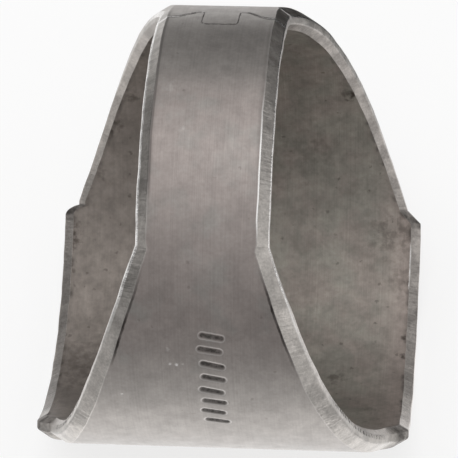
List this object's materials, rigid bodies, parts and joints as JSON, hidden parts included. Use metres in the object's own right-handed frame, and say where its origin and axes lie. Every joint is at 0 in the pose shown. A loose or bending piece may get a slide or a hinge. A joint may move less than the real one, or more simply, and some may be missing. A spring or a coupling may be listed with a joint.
{
  "type": "connecting rod bushing",
  "caption": "Rolled steel sleeve bearing for the small end of a tapered connecting rod, narrow on top and wide below, closed by an interlocking butt seam.",
  "frame": {"origin": "on the bore's axis, at half of the full width", "axes": "+X along the bore, +Z from the wide side towards the middle of the narrow band, which is up when it lies at rest"},
  "size_m": [0.0394, 0.046, 0.046],
  "materials": {
    "steel": "as rolled and reamed, dull, with bright edges"
  },
  "bodies": {
    "root": {"bushing": "steel"}
  },
  "joints": []
}
